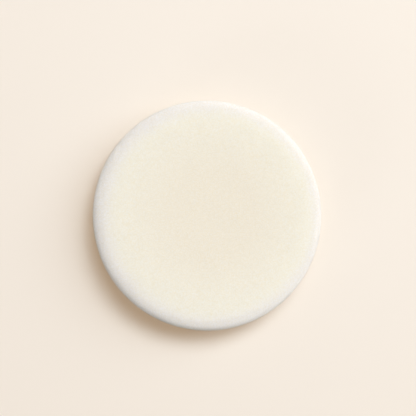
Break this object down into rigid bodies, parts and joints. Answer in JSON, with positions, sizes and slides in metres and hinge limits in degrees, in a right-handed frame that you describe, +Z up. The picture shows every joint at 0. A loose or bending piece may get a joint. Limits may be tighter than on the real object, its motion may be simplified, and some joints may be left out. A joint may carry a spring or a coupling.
{
  "type": "makeup puff",
  "caption": "Round velour makeup puff with a crowned face, a foam core and a satin finger ribbon across the back.",
  "frame": {"origin": "on the ground under the puff's centre, at the middle of the ribbon's underside", "axes": "+Z up through the crowned face, X along the ribbon, Y across it"},
  "size_m": [0.06, 0.06, 0.0108],
  "materials": {
    "face_velour": "matte",
    "back_velour": "matte",
    "core_foam": "matte",
    "ribbon_satin": "satin"
  },
  "bodies": {
    "root": {"face_cover": "face_velour", "back_cover": "back_velour", "foam_core": "core_foam", "finger_ribbon": "ribbon_satin"}
  },
  "joints": []
}
